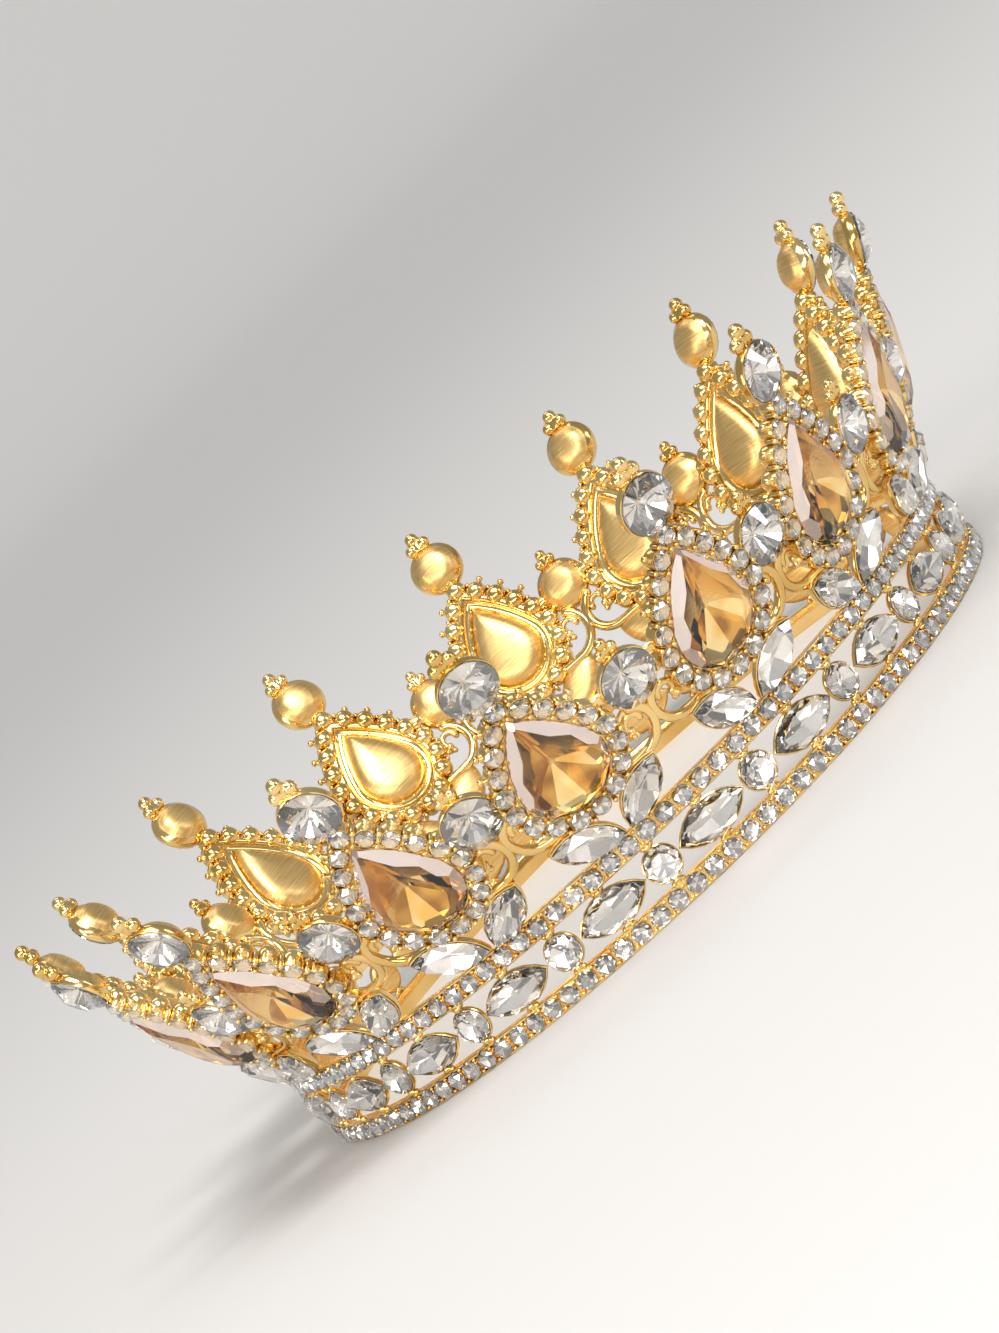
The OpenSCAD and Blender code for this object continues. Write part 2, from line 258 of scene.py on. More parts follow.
def halo_places():
    """The place and outward direction of each small stone of a halo, with its number from the foot."""
    for i in range(HALO // 2 + 1):
        (x, y), turn = halo_point(i * HALO_STEP)
        if i in (0, HALO // 2):
            yield i, x, y, (-math.pi / 2 if i == 0 else math.pi / 2)
        else:
            yield i, x, y, turn
            yield i, -x, y, math.pi - turn


# Modelling.
def rounded(co):
    """A place to 0.0001, by which points are told apart."""
    return tuple(round(c, 4) for c in co)


def move_loop(before, after):
    """Moves the selected points of the mesh in edit mode from one loop's places to the next's."""
    where = {rounded(p): i for i, p in enumerate(before)}
    mesh = bpy.context.edit_object.data
    points = bmesh.from_edit_mesh(mesh)
    for v in points.verts:
        if v.select:
            v.co = after[where[rounded(v.co)]]
    bmesh.update_edit_mesh(mesh)


def loft(name, loops, ring=False, smooth=40):
    """A closed casting through these loops, with edges sharper than the smooth angle left sharp. Each loop is a list
    of points with its middle last, and a ring has no middles."""
    bpy.ops.object.select_all(action="DESELECT")
    sides = len(loops[0]) - (0 if ring else 1)
    bpy.ops.mesh.primitive_circle_add(vertices=sides, radius=1, fill_type="NOTHING" if ring else "TRIFAN",
                                      enter_editmode=True)
    made = bpy.context.object
    points = bmesh.from_edit_mesh(made.data)
    rim = sorted((v for v in points.verts if v.co.length > 0.5), key=lambda v: math.atan2(v.co.y, v.co.x))
    for v, p in zip(rim, loops[0]):
        v.co = p
    for v in points.verts:
        if v not in rim:
            v.co = loops[0][-1]
    bmesh.update_edit_mesh(made.data)
    for before, after in zip(loops, loops[1:]):
        if ring:
            bpy.ops.mesh.extrude_edges_move()
        else:
            bpy.ops.mesh.extrude_region_move()
        move_loop(before, after)
    if ring:
        first = {rounded(p) for p in loops[0]}
        points = bmesh.from_edit_mesh(made.data)
        for v in points.verts:
            if rounded(v.co) in first:
                v.select = True
        points.select_flush(True)
        for e in points.edges:
            e.select = e.is_boundary
        bmesh.update_edit_mesh(made.data)
        bpy.ops.mesh.select_mode(type="EDGE")
        bpy.ops.mesh.bridge_edge_loops()
        bpy.ops.mesh.select_mode(type="VERT")
    bpy.ops.mesh.select_all(action="SELECT")
    bpy.ops.mesh.normals_make_consistent(inside=False)
    bpy.ops.object.mode_set(mode="OBJECT")
    bpy.ops.object.shade_smooth_by_angle(angle=math.radians(smooth))
    made.name = name
    made.data.materials.append(GILT)
    return made


def cast(name, outline, rows, middle=(0.0, 0.0), **how):
    """A closed casting on an outline. Each row says how far the outline is grown and its height, and its middle's
    height if that differs."""
    loops = []
    for out, z, *mid_z in rows:
        loops.append([Vector((x, y, z)) for x, y in outline(out)] + [Vector((*middle, mid_z[0] if mid_z else z))])
    return loft(name, loops, **how)


def hoop(name, outline, rows, **how):
    """A closed ring with a profile of (out, height) points, round an outline."""
    return loft(name, [[Vector((x, y, z)) for x, y in outline(out)] for out, z in rows], ring=True, **how)


def wire(name, path, sides=10):
    """A round wire through (x, y, z, radius) points, with rounded ends."""
    loops = []
    # Each end takes two narrower loops, as shares of the radius, and moves them along the wire by further shares.
    ends = [(path[0], 0.35), (path[0], 0.85)] + [(p, 1) for p in path[1:-1]] + [(path[-1], 0.85), (path[-1], 0.35)]
    for k, ((x, y, z, r), share) in enumerate(ends):
        i = min(max(k - 1, 0), len(path) - 1)
        a, b = path[max(i - 1, 0)], path[min(i + 1, len(path) - 1)]
        along = Vector((b[0] - a[0], b[1] - a[1], b[2] - a[2])).normalized()
        side = Vector((along.y, -along.x, 0)).normalized()
        up = side.cross(along)
        shift = {0: -0.8, len(ends) - 1: 0.8, 1: -0.4, len(ends) - 2: 0.4}.get(k, 0) * r
        c = Vector((x, y, z)) + along * shift
        loops.append([c + r * share * (math.cos(t) * side + math.sin(t) * up)
                      for t in (2 * math.pi * j / sides for j in range(sides))] + [c])
    return loft(name, loops, smooth=60)


def ball(x, y, z, r, sides=12):
    """A gilt ball, its place in its mesh."""
    bpy.ops.object.select_all(action="DESELECT")
    bpy.ops.mesh.primitive_uv_sphere_add(segments=sides, ring_count=sides // 2, radius=r, location=(x, y, z))
    made = bpy.context.object
    bpy.ops.object.transform_apply(location=True, rotation=True, scale=True)
    made.data.materials.append(GILT)
    return made


def joined(name, parts):
    """These parts as one mesh, under the first one's object."""
    bpy.ops.object.select_all(action="DESELECT")
    for p in parts:
        p.select_set(True)
    bpy.context.view_layer.objects.active = parts[0]
    if len(parts) > 1:
        bpy.ops.object.join()
    parts[0].name = name
    return parts[0]


def run_together(made, voxel):
    """Balls and stems run together with small fillets, as cast, on a grid of this size."""
    bpy.ops.object.select_all(action="DESELECT")
    made.select_set(True)
    bpy.context.view_layer.objects.active = made
    melt = made.modifiers.new("melt", "REMESH")
    melt.mode = "VOXEL"
    melt.voxel_size = voxel
    melt.use_smooth_shade = True
    bpy.ops.object.modifier_apply(modifier="melt")
    soft = made.modifiers.new("soft", "SMOOTH")
    soft.iterations = 3
    bpy.ops.object.modifier_apply(modifier="soft")
    bpy.ops.object.shade_smooth()
    return made


def copy_at(model, *places):
    """A copy of a modelled piece, with its own mesh, moved by these places from the last to the first."""
    mesh = model.data.copy()
    for place in reversed(places):
        mesh.transform(place)
    if places and sum(p.determinant() < 0 for p in places) % 2:
        mesh.flip_normals()
    made = bpy.data.objects.new(model.name, mesh)
    bpy.context.collection.objects.link(made)
    return made


def at(x=0.0, y=0.0, z=0.0, turn=0.0):
    """A place on a panel, turned about the panel's outward axis."""
    return Matrix.Translation((x, y, z)) @ Matrix.Rotation(turn, 4, "Z")


def drop_models(models):
    """Takes the models away, once their copies are in place."""
    for m in models:
        bpy.data.objects.remove(m)


MIRROR = Matrix.Scale(-1, 4, (1, 0, 0))


# How facets lean, in degrees beyond the mains, and where a stone with a keel has its other facets.
UPPER_HALF_LEAN, LOWER_HALF_LEAN, KEEL_MAIN_LEAN = 9, 5, 9
KEEL_SHARE = 0.86
STAR_INSET, STAR_SHARE = 0.7, 0.55


def facet_planes(points, girdle, thick, crown, inset, depth, reach, halves, keel):
    """A stone's facets on an outline of an even number of points, each as a point and the direction that it faces:
    mains and the table over the girdle, and mains below. Halves are the small facets along the girdle. A keel is the
    number of broad facets round the culet, and such a stone has stars round its table too. Inset is the width of the
    crown, and reach the distance from the outline to the culet."""
    planes = []
    n = len(points)
    main = math.atan2(crown, inset)
    pavilion = math.atan2(depth, reach)

    def plane(p, q, at_point, height, lean, up):
        out = Vector((q[1] - p[1], p[0] - q[0], 0)).normalized()
        planes.append((Vector((*at_point, height)), out * math.sin(lean) + Vector((0, 0, up * math.cos(lean)))))

    for i in range(0, n, 2):
        a, p, b = points[i - 1], points[i], points[(i + 1) % n]
        plane(a, b, p, girdle + thick, main, 1)
        plane(a, b, p, girdle, pavilion + math.radians(KEEL_MAIN_LEAN if keel else 0), -1)
    for i in range(keel):
        out = Vector(on_arc(1, 2 * math.pi * (i + 0.5) / keel)).to_3d()
        lean = math.atan2(KEEL_SHARE * depth, max(out.x * x + out.y * y for x, y in points))
        planes.append((Vector((0, 0, girdle - depth)), out * math.sin(lean) - Vector((0, 0, math.cos(lean)))))
    for i in range(1, n if keel else 0, 2):
        a, p, b = points[i - 1], points[i], points[(i + 1) % n]
        out = Vector((b[1] - a[1], a[0] - b[0], 0)).normalized()
        at_table = Vector(p).to_3d() - out * (inset + STAR_INSET)
        plane(a, b, at_table[:2], girdle + thick + crown, STAR_SHARE * main, 1)
    for i in range(n if halves else 0):
        p, q = points[i], points[(i + 1) % n]
        middle = ((p[0] + q[0]) / 2, (p[1] + q[1]) / 2)
        plane(p, q, middle, girdle + thick, main + math.radians(UPPER_HALF_LEAN), 1)
        plane(p, q, middle, girdle, pavilion + math.radians(LOWER_HALF_LEAN), -1)
    planes.append((Vector((0, 0, girdle + thick + crown)), Vector((0, 0, 1))))
    return planes


def cut(name, outline, bottom, top, facets):
    """A block in the outline from bottom to top, cut by one plane for each facet."""
    block = cast(name, outline, [(0, bottom), (0, top)])
    bpy.ops.object.mode_set(mode="EDIT")
    for point, normal in facets:
        bpy.ops.mesh.select_all(action="SELECT")
        bpy.ops.mesh.bisect(plane_co=point, plane_no=normal, use_fill=True, clear_outer=True)
    # Points within 0.002 mm are merged, and so are facets within half a degree of one plane.
    bpy.ops.mesh.select_all(action="SELECT")
    bpy.ops.mesh.remove_doubles(threshold=0.002)
    bpy.ops.mesh.dissolve_limited(angle_limit=math.radians(0.5))
    bpy.ops.mesh.normals_make_consistent(inside=False)
    bpy.ops.object.mode_set(mode="OBJECT")
    bpy.ops.object.shade_flat()
    return block


# Facets are told apart by where they face: back, flat to the front, and down the stone or up to its tip.
FACES_BACK, FACES_FRONT, FACES_DOWN, FACES_TIP = -0.1, 0.87, -0.4, 0.1


def foiled(block, glass, back, deep, takes_painted_shade, coats):
    """The finishes of a cut stone: its glass, a foil on its back facets with a darker one of painted shade on the
    facets that the given test picks, and coats, a strong lustre on the steep facets towards the tip and a faint one on
    those at the sides."""
    block.data.materials.clear()
    for finish in (glass, back, deep, *coats):
        block.data.materials.append(finish)
    for face in block.data.polygons:
        x, y, z = face.normal
        if z < FACES_BACK:
            # Back facets that the test picks take the darker foil, which is painted shade.
            face.material_index = 2 if takes_painted_shade(z, 4 * math.atan2(y, x) / math.pi) else 1
        elif coats and z < FACES_FRONT and y > FACES_DOWN:
            face.material_index = 3 if y > FACES_TIP else 4
    return block


# Which back facets take the darker foil of painted shade, by a facet's slope and its direction in eighths of a turn.
def no_painted_shade(z, eighth):
    """No facet."""
    return False


def painted_shade_in_drop(z, eighth):
    """Painted shade on every other facet of the keel, and three in eight round it."""
    eighth = math.floor(eighth)
    return eighth % 2 == 0 if z < -0.92 else 3 * eighth % 8 < 3


def painted_shade_in_round(z, eighth):
    """Every fourth of the sixteen, so that dark rays of painted shade cross the stone."""
    return round(2 * eighth) % 4 == 1


def painted_shade_in_small(z, eighth):
    """Painted shade on every other one of the six that meet in the culet."""
    return z < -0.95 and round(0.75 * eighth) % 2 == 0


def stone(name, outline, girdle, crown, inset, depth, reach, thick=0.25, over=OVER_RIM, halves=True, keel=0,
          glass=CLEAR, back=SILVER_FOIL, deep=PAINTED_SHADE_FOIL, takes_painted_shade=no_painted_shade, coats=()):
    """A cut stone with its girdle at this height, whose outline is grown by over. Deep is the darker foil of painted
    shade on some back facets.
    """
    def edge(out):
        return outline(out + over)

    planes = facet_planes(edge(0), girdle, thick, crown, inset, depth, reach, halves, keel)
    # The uncut block ends 1 mm under the culet and 0.5 mm over the table.
    block = cut(name, edge, girdle - depth - 1, girdle + thick + crown + 0.5, planes)
    return foiled(block, glass, back, deep, takes_painted_shade, coats)


def round_of(radius, sides):
    """A round outline of this radius, which takes how far it is grown."""
    return lambda out: disc(sides)(radius + out)


# Places. Each takes millimetres on a panel or the band to metres in the scene.
SMALL = Matrix.Scale(MM, 4)
UPRIGHT = Matrix.Rotation(math.radians(90), 4, "Z") @ Matrix.Rotation(math.radians(90), 4, "X")


def on_panel(turn, bend):
    """A panel of the leaning wall: X along the band, Y up the lean from the band's top, Z outward."""
    return (SMALL @ Matrix.Rotation(math.radians(turn), 4, "Z") @ Matrix.Translation((BASE_R - FOOT_IN, 0, BAND_H))
            @ Matrix.Rotation(math.radians(FLARE + bend[0]), 4, "Y") @ UPRIGHT
            @ Matrix.Rotation(math.radians(bend[1]), 4, "Z"))


def on_unit(i):
    """The middle of a unit's teardrop."""
    return on_panel(i * 360 / UNITS, BENDS[i % UNITS]) @ at(0, DROP_Y)


def between_units(i):
    """The middle of the round between a unit and the next, which leans as far as both do on average."""
    a, b = BENDS[i % UNITS], BENDS[(i + 1) % UNITS]
    return on_panel((i + 0.5) * 360 / UNITS, ((a[0] + b[0]) / 2, (a[1] + b[1]) / 2)) @ at(0, BETWEEN_Y)


def on_band(turn, z=BAND_H / 2):
    """A place on the band: X along it, Y up, Z outward from the axis."""
    return SMALL @ Matrix.Rotation(math.radians(turn), 4, "Z") @ Matrix.Translation((0, 0, z)) @ UPRIGHT


def leaf_place(side):
    """The middle of a leaf at the left or right foot of a unit, from the middle of its teardrop."""
    return at(side * LEAF_X, LEAF_Y - DROP_Y, 0, math.radians(side * LEAF_TURN))


def across_lines(made):
    """The piece's own map, in millimetres along and up the panel, which the brush lines follow."""
    layer = made.data.uv_layers.new(name="across")
    for loop in made.data.loops:
        co = made.data.vertices[loop.vertex_index].co
        layer.data[loop.index].uv = (co.x, co.y)
    return made


def brush_back(made, below):
    """Brushes the faces that look back and lie below this height."""
    made.data.materials.append(BRUSHED)
    for face in made.data.polygons:
        if face.normal.z < -0.3 and face.center.z < below:
            face.material_index = 1
    return made


# The stones' models.
pear_stone = stone("pear_stone", pear(4), girdle=DROP_FRONT - 0.7, crown=1.9, inset=2.1, depth=2.8, reach=6.8,
                   halves=False, keel=8, glass=CHAMPAGNE, back=AMBER_FOIL, deep=PAINTED_SHADE_AMBER_FOIL, takes_painted_shade=painted_shade_in_drop,
                   coats=(LUSTRE, FAINT_LUSTRE))
round_stone = stone("round_stone", round_of(ROUND_R, 32), girdle=CUP_FRONT - 0.6, crown=1.6, inset=2.5, depth=2.35,
                    reach=ROUND_R, halves=False, takes_painted_shade=painted_shade_in_round)
leaf_stone = stone("leaf_stone", navette(LEAF_L, LEAF_W, 6), girdle=LEAF_FRONT - 0.5, crown=1.05, inset=1.15,
                   depth=1.2, reach=LEAF_W / 2)
navette_stone = stone("navette_stone", navette(NAVETTE_L, NAVETTE_W, 6), girdle=BAND_FACE - 0.5, crown=1.05,
                      inset=1.15, depth=0.75, reach=NAVETTE_W / 2)
band_stone = stone("band_stone", round_of(BAND_ROUND_R, 16), girdle=BAND_FACE - 0.5, crown=1.0, inset=1.08,
                   depth=0.75, reach=BAND_ROUND_R)
small_stone = stone("small_stone", round_of(SMALL_R, 12), girdle=0, crown=0.55, inset=0.66, depth=0.42,
                    reach=SMALL_R, thick=0.16, over=0, glass=SMALL_CLEAR, takes_painted_shade=painted_shade_in_small)

# The castings' models: settings with their backs domed, as the real ones are. A row of each is how far the outline
# is grown and a height.
bezel = cast("bezel", pear(8), [
    # The back is a boss with a groove round it.
    (-5.4, -2.88, -2.9), (-3.8, -2.8), (-2.7, -2.55), (-2.0, -2.15), (-1.55, -1.65), (-1.35, -1.2), (-1.15, -0.75),
    (-0.8, -0.45), (-0.4, -0.38), (0.0, -0.5), (0.3, -0.8), (0.5, -0.75),
    # The rim ends just under the girdle, and the seat follows the back of the stone.
    (0.52, DROP_RIM - 0.17), (0.48, DROP_RIM - 0.05), (0.38, DROP_RIM), (0.26, DROP_RIM - 0.03),
    (0.16, DROP_RIM - 0.13), (0.1, 0.2), (-0.6, 0), (-3, -0.9), (-5.4, -2.0, -2.1)], middle=(0, -1.5))
brush_back(bezel, below=-1.3)
plate = hoop("plate", pear(8), [
    (0.3, 0.62), (1.0, 0.66), (1.7, 0.5), (2.2, 0.2), (2.35, -0.3), (2.2, -0.8), (1.6, -1.15), (1.1, -1.35),
    (0.7, -1.4), (0.45, -1.25), (0.33, -0.9)])
halo_cup = cast("halo_cup", disc(12), [
    (0.55, -2.27, -2.3), (1.05, -2.1), (1.45, -1.7), (1.7, -1.1), (1.76, -0.3), (1.72, 0.5), (1.68, 0.72),
    (1.6, 0.76), (1.53, 0.68), (1.46, 0.3), (0.5, 0.0, -0.05)])
# A spike ends in a small bead.
spike = cast("spike", disc(10), [
    (0.95, 0.9), (0.85, 1.3), (0.62, 1.75), (0.42, 2.05), (0.46, 2.15), (0.58, 2.3), (0.6, 2.5), (0.48, 2.7),
    (0.25, 2.83, 2.86)], smooth=50)
claw = cast("claw", disc(6), [
    (0.22, -0.8, -0.85), (0.42, -0.6), (0.42, 0.9), (0.4, 1.12), (0.28, 1.3), (0.1, 1.38, 1.4)], smooth=60)


def round_cup(name, radius, front, back, sides):
    """A round cup for a stone of this radius, domed behind."""
    o = radius + PLAY + WALL
    return cast(name, disc(sides), [
        (0.25 * o, back + 0.03, back), (0.46 * o, back + 0.16), (0.62 * o, back + 0.45), (0.72 * o, back + 0.9),
        (0.82 * o, back + 1.35), (0.95 * o, back + 1.8), (o, back + 2.3), (o, front - 0.35), (o - 0.05, front - 0.1),
        (o - 0.18, front), (o - 0.33, front - 0.08), (o - 0.4, front - 0.35), (o - 0.42, front - 0.75),
        (0.7 * o, front - 1.3), (0.3 * o, back + 0.95)])


top_cup = round_cup("top_cup", ROUND_R, CUP_RIM, CUP_BACK, 32)
brush_back(top_cup, below=-1.2)


def navette_cup(name, length, width, front, back):
    """A navette's cup, domed behind."""
    deep = front - back
    return cast(name, navette(length, width, 8), [
        (-1.9, back + 0.03, back), (-1.1, back + 0.06 * deep), (-0.4, back + 0.16 * deep), (0.1, back + 0.33 * deep),
        (0.4, back + 0.5 * deep), (0.52, back + 0.69 * deep), (0.52, front - 0.3), (0.46, front - 0.08),
        (0.32, front), (0.18, front - 0.08), (0.12, front - 0.35), (0.1, front - 0.6), (-1.2, front - 0.5 * deep),
        (-1.9, back + 0.35)])


leaf_cup = navette_cup("leaf_cup", LEAF_L, LEAF_W, LEAF_RIM, LEAF_BACK)
brush_back(leaf_cup, below=-0.6)


def ball_cluster(name, x, y, r, top, top_r, stem_r):
    """Two balls side by side and one over them on a short stem, from the edge of a cup."""
    parts = [ball(-x, y, 0, r, 16), ball(x, y, 0, r, 16), ball(0, top, 0, top_r, 16)]
    stem = cast("stem", disc(12), [(stem_r, -0.5), (stem_r, top)])
    stem.data.transform(Matrix.Rotation(math.radians(-90), 4, "X"))
    return run_together(joined(name, [*parts, stem]), voxel=0.16)


finial = ball_cluster("finial", x=1.3, y=0.45, r=1.12, top=2.1, top_r=1.22, stem_r=0.85)
trefoil = ball_cluster("trefoil", x=1.1, y=0.45, r=0.87, top=1.85, top_r=0.97, stem_r=0.7)
# A cluster stands on its cup's edge, 0.7 mm behind the face of the wall.
CLUSTER_PLACE = at(0, ROUND_R + PLAY + WALL, -0.7)


def arc_path(cx, cy, r, start, end, steps, thin, thick):
    """Points on an arc between two angles in degrees, with the wire's radius running from thin to thick."""
    out = []
    for i in range(steps + 1):
        a = math.radians(start + (end - start) * i / steps)
        out.append((cx + r * math.cos(a), cy + r * math.sin(a), SCROLL_Z, thin + (thick - thin) * i / steps))
    return out


# A scroll leaves the round's cup, turns down to the foot of the next unit and runs along behind it. A curl with buds
# at its end fills the bend, and a web behind joins both to the cup.
SCROLL_Z = -0.82
SCROLL_MIDDLE, SCROLL_R = (4.6, 11.2 - BETWEEN_Y), 4.2
FOOT_Y = 7.0 - BETWEEN_Y
CURL_MIDDLE, CURL_R = (3.2, 12.4 - BETWEEN_Y), 1.3
scroll = wire("scroll", arc_path(*SCROLL_MIDDLE, SCROLL_R, 118, 268, 22, 0.82, 0.8)
              + [(x, FOOT_Y, SCROLL_Z, 0.76) for x in (5.4, 6.6, 7.8, 9.2)])
curl = wire("curl", arc_path(*CURL_MIDDLE, CURL_R, 190, -45, 12, 0.6, 0.5), sides=8)
tip_x, tip_y = on_arc(CURL_R, math.radians(-50), *CURL_MIDDLE)
buds = run_together(joined("buds", [
    ball(tip_x, tip_y, SCROLL_Z, 0.72), ball(tip_x + 0.75, tip_y - 0.35, SCROLL_Z + 0.35, 0.55),
    ball(tip_x - 0.25, tip_y - 0.85, SCROLL_Z + 0.35, 0.55), ball(tip_x + 0.35, tip_y - 0.45, SCROLL_Z + 0.75, 0.5)]),
    voxel=0.14)
web = cast("web", disc(20), [
    (0.4, -1.35, -1.4), (0.7, -1.22), (0.92, -1.0), (1.0, -0.8), (0.92, -0.58), (0.7, -0.38), (0.4, -0.28, -0.25)])
web.data.transform(at(5.1) @ Matrix.Diagonal((1.8, 1.05, 1, 1)))

# One unit: bezel, plate, halo, cup with its finial, and two leaf cups. The halo's stones are each turned a little
# further than the last, as hand-set ones are.
unit_parts = [copy_at(bezel), copy_at(plate), copy_at(top_cup, at(0, TOP_Y)),
              copy_at(finial, at(0, TOP_Y), CLUSTER_PLACE)]
unit_stones = []
for side in (-1, 1):
    unit_parts.append(copy_at(leaf_cup, leaf_place(side)))
for i, x, y, turn in halo_places():
    unit_parts.append(copy_at(halo_cup, at(x, y)))
    unit_stones.append(copy_at(small_stone, at(x, y, HALO_SEAT, turn + 0.3 * i)))
    if 0 < HALO // 2 - i <= TIP_SPIKES:
        unit_parts.append(copy_at(spike, at(x, y, SPIKE_Z, turn), Matrix.Rotation(math.radians(90), 4, "Y")))
for i in range(HALO // 2):
    for out in (-CLAW_OUT, CLAW_OUT):
        (x, y), turn = halo_point((i + 0.5) * HALO_STEP, out)
        unit_parts.append(copy_at(claw, at(x, y)))
        unit_parts.append(copy_at(claw, at(-x, y)))
unit_model = across_lines(joined("unit_model", unit_parts))
halo_model = joined("halo_model", unit_stones)

between_parts = [copy_at(top_cup), copy_at(trefoil, CLUSTER_PLACE)]
for flip in (Matrix.Identity(4), MIRROR):
    between_parts += [copy_at(part, flip) for part in (scroll, curl, buds, web)]
between_model = across_lines(joined("between_model", between_parts))


def piece(name, made, *nodes, slot="gilt_metal"):
    """A shown piece, which rides on the crown's one body and may stand for nodes of the solids."""
    made.name = name
    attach(made, "root")
    if nodes:
        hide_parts(*nodes)


for i in range(UNITS):
    piece(f"unit_casting_{i + 1}", copy_at(unit_model, on_unit(i)), "frame")
    piece(f"teardrop_stone_{i + 1}", copy_at(pear_stone, on_unit(i)), f"teardrop_{i + 1}", slot="champagne_stone")
    piece(f"round_point_stone_{i + 1}", copy_at(round_stone, on_unit(i), at(0, TOP_Y)), f"point_stone_{i + 1}",
          slot="clear_stone")
piece("castings_between", joined("castings_between", [copy_at(between_model, between_units(i)) for i in range(UNITS)]),
      "frame")
piece("round_stones_between", joined("round_stones_between",
      [copy_at(round_stone, between_units(i)) for i in range(UNITS)]), "between_stones", slot="clear_stone")
piece("leaf_navettes", joined("leaf_navettes",
      [copy_at(leaf_stone, on_unit(i), leaf_place(side)) for i in range(UNITS) for side in (-1, 1)]),
      "leaf_stones", slot="clear_stone")
piece("halo_stones", joined("halo_stones", [copy_at(halo_model, on_unit(i)) for i in range(UNITS)]),
      slot="clear_stone")


# The band: two rails with their small stones, and the settings between them.
def rail_profile(low):
    """A rail's section as (radius, height) from this height up, with its edges rounded and a shallow channel
    outside."""
    top = low + RAIL_H
    inner = BASE_R - RAIL_T
    return [(inner + 0.15, low), (inner, low + 0.25), (inner, top - 0.25), (inner + 0.15, top),
            (BASE_R - 0.15, top), (BASE_R, top - 0.12), (BASE_R, top - 0.32), (BASE_R - 0.45, top - 0.36),
            (BASE_R - 0.45, low + 0.36), (BASE_R, low + 0.32), (BASE_R, low + 0.12), (BASE_R - 0.15, low)]


PEG_OUT = 1.08
RAIL_STEP = 360 / RAIL_STONES
seat = cast("seat", disc(12), [
    (1.55, -0.9), (1.58, -0.2), (1.57, -0.04), (1.53, 0.0), (1.51, -0.1), (0.5, -0.5)])
peg = cast("peg", disc(6), [(0.34, -0.8), (0.34, 0.12), (0.26, 0.32), (0.1, 0.4, 0.42)], smooth=60)
rail_parts, rail_stones = [], []
for low in (0, BAND_H - RAIL_H):
    rail = hoop("rail", disc(240), rail_profile(low), smooth=35)
    rail.data.transform(SMALL)
    rail_parts.append(rail)
    middle = low + RAIL_H / 2
    for i in range(RAIL_STONES):
        here = on_band((i + 0.5) * RAIL_STEP, middle)
        rail_parts.append(copy_at(seat, here, at(0, 0, BASE_R)))
        rail_stones.append(copy_at(small_stone, here, at(0, 0, BASE_R + 0.02, 0.37 * i)))
        for y in (-PEG_OUT, PEG_OUT):
            rail_parts.append(copy_at(peg, on_band(i * RAIL_STEP, middle), at(0, y, BASE_R)))
piece("band_rails", joined("band_rails", rail_parts), "frame")
piece("rail_stones", joined("rail_stones", rail_stones), slot="clear_stone")

band_round_cup = cast("band_round_cup", disc(24), [
    (1.2, BAND_BACK + 0.03, BAND_BACK), (2.3, BAND_BACK + 0.15), (2.75, BAND_BACK + 0.4), (2.97, BAND_BACK + 0.8),
    (2.97, BAND_RIM - 0.25), (2.92, BAND_RIM - 0.07), (2.8, BAND_RIM), (2.66, BAND_RIM - 0.06),
    (2.57, BAND_RIM - 0.25), (2.5, BAND_RIM - 0.6), (1.2, BAND_BACK + 0.35)])
band_navette_cup = navette_cup("band_navette_cup", NAVETTE_L, NAVETTE_W, BAND_RIM, BAND_BACK)
for cup in (band_round_cup, band_navette_cup):
    across_lines(brush_back(cup, below=BAND_BACK + 1.0))
# A tie of three balls stands over and under each setting.
tie = run_together(joined("tie", [
    ball(0, 0, 0, 0.72), ball(-0.75, 0.35, -0.15, 0.5), ball(0.75, 0.35, -0.15, 0.5)]), voxel=0.15)
TIE_UP, TIE_FACE = 3.05, BASE_R - 0.55
band_parts, navette_copies, round_copies = [], [], []
for i in range(REPEATS):
    here, next_here = on_band(i * 360 / REPEATS), on_band((i + 0.5) * 360 / REPEATS)
    band_parts += [copy_at(band_round_cup, here), copy_at(band_navette_cup, next_here)]
    for setting in (here, next_here):
        band_parts.append(copy_at(tie, setting, at(0, TIE_UP, TIE_FACE)))
        band_parts.append(copy_at(tie, setting, at(0, -TIE_UP, TIE_FACE, math.pi)))
    round_copies.append(copy_at(band_stone, here))
    navette_copies.append(copy_at(navette_stone, next_here))
piece("band_settings", joined("band_settings", band_parts), "frame")
piece("band_round_stones", joined("band_round_stones", round_copies), "band_rounds", slot="clear_stone")
piece("band_navette_stones", joined("band_navette_stones", navette_copies), "band_navettes", slot="clear_stone")

drop_models([pear_stone, round_stone, leaf_stone, navette_stone, band_stone, small_stone, bezel, plate, halo_cup,
             spike, claw, top_cup, leaf_cup, finial, trefoil, scroll, curl, buds, web, unit_model, halo_model,
             between_model, seat, peg, band_round_cup, band_navette_cup, tie])


# The stage, in metres: a pale floor that curves up far away, soft lights and the photograph's camera.
FLOOR_R, CURVE_R = 7, 2.5


def stage_floor():
    """The floor, flat to its radius and then curved up like a bowl's rim."""
    m = finish_named("pale_floor")
    shader = node(m, "ShaderNodeBsdfPrincipled", {"Base Color": linear("#D9D6D2"), "Roughness": 0.7})
    node(m, "ShaderNodeOutputMaterial", Surface=shader.outputs["BSDF"])
    rows = [(k, 0) for k in range(1, FLOOR_R + 1)]
    for k in range(1, 10):
        a = math.radians(10 * k)
        rows.append((FLOOR_R + CURVE_R * math.sin(a), CURVE_R - CURVE_R * math.cos(a)))
    bpy.ops.object.select_all(action="DESELECT")
    bpy.ops.mesh.primitive_circle_add(vertices=64, radius=rows[0][0], fill_type="NGON", enter_editmode=True)
    for (r0, z0), (r1, z1) in zip(rows, rows[1:]):
        bpy.ops.mesh.extrude_region_move(TRANSFORM_OT_translate={"value": (0, 0, z1 - z0)})
        bpy.ops.transform.resize(value=(r1 / r0, r1 / r0, 1))
    bpy.ops.mesh.delete(type="ONLY_FACE")
    bpy.ops.object.mode_set(mode="OBJECT")
    floor = bpy.context.object
    bpy.ops.object.shade_smooth()
    floor.name = "floor"
    floor.data.materials.append(m)


stage_floor()


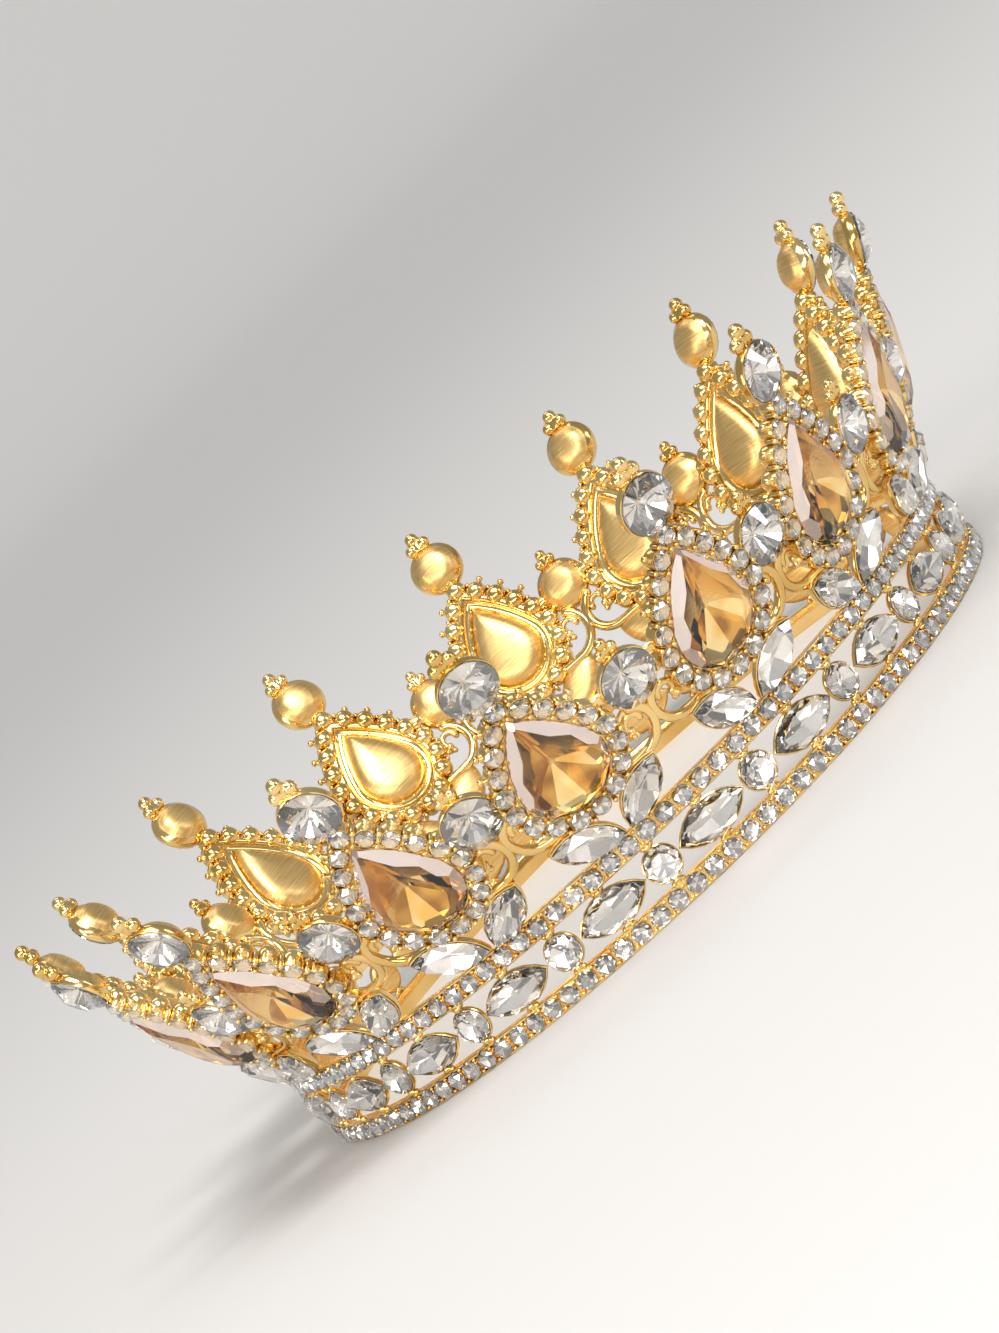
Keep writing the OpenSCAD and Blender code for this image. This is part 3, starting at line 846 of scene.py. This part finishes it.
def soft_light(name, place, size, power, tint="#FFFFFF"):
    """A soft box at this place, turned to the crown's middle and unseen by the camera."""
    lamp = bpy.data.lights.new(name, "AREA")
    lamp.shape = "RECTANGLE"
    lamp.size, lamp.size_y = size
    lamp.energy = power
    lamp.color = linear(tint)[:3]
    made = bpy.data.objects.new(name, lamp)
    bpy.context.collection.objects.link(made)
    made.location = place
    made.rotation_mode = "QUATERNION"
    made.rotation_quaternion = (Vector((0, 0, 0.03)) - Vector(place)).to_track_quat("-Z", "Y")
    made.visible_camera = False


soft_light("overhead_light", (0.3, 0.1, 0.9), (0.5, 0.4), 2.2)
soft_light("side_light", (0.5, -0.8, 0.3), (0.2, 0.5), 2.2, "#FFF4E4")
soft_light("other_side_light", (0.4, 0.85, 0.3), (0.2, 0.5), 1.2, "#F2F6FF")
soft_light("front_light", (0.85, -0.15, 0.36), (0.9, 0.22), 3.8)
soft_light("back_light", (-0.7, 0.1, 1.3), (0.8, 0.4), 2.2, "#FFF8EE")
sun = bpy.data.lights.new("wide_light", "SUN")
sun.angle = math.radians(20)
sun.energy = 1.5
wide_light = bpy.data.objects.new("wide_light", sun)
bpy.context.collection.objects.link(wide_light)
wide_light.rotation_mode = "QUATERNION"
wide_light.rotation_quaternion = Vector((0.55, 0.35, 0.8)).to_track_quat("Z", "Y")

world = bpy.data.worlds.new("studio")
bpy.context.scene.world = world
world.use_nodes = True
world.node_tree.nodes["Background"].inputs["Color"].default_value = linear("#D6D9DE")
world.node_tree.nodes["Background"].inputs["Strength"].default_value = 0.55
bpy.context.scene.view_settings.view_transform = "Standard"

# The camera looks at the crown's middle from the photograph's side, in degrees, but from just above the floor. It
# stands a little higher than it aims, and its roll turns the crown's axis to the left in the picture.
MIDDLE = Vector((0, 0, 0.027))
DISTANCE = 0.706
AZIMUTH, ELEVATION, AIM_OFFSET, ROLL = 2.06, 6, 0.67, 43.37


def direction(azimuth, elevation):
    """The way from the crown to a camera at these angles, in degrees."""
    a, e = math.radians(azimuth), math.radians(elevation)
    return Vector((math.cos(a) * math.cos(e), math.sin(a) * math.cos(e), math.sin(e)))


# A long lens on a frame in the photograph's proportions, in millimetres.
lens = bpy.data.cameras.new("camera")
lens.sensor_fit = "VERTICAL"
lens.sensor_width, lens.sensor_height = 27, 36
lens.lens = 125.7
lens.clip_start, lens.clip_end = 0.02, 20
camera = bpy.data.objects.new("camera", lens)
bpy.context.collection.objects.link(camera)
camera.location = MIDDLE + DISTANCE * direction(AZIMUTH, ELEVATION + AIM_OFFSET)
camera.rotation_mode = "QUATERNION"
turned = Matrix.Rotation(math.radians(-ROLL), 3, "Z").to_quaternion()
camera.rotation_quaternion = direction(AZIMUTH, ELEVATION).to_track_quat("Z", "Y") @ turned
bpy.context.scene.camera = camera
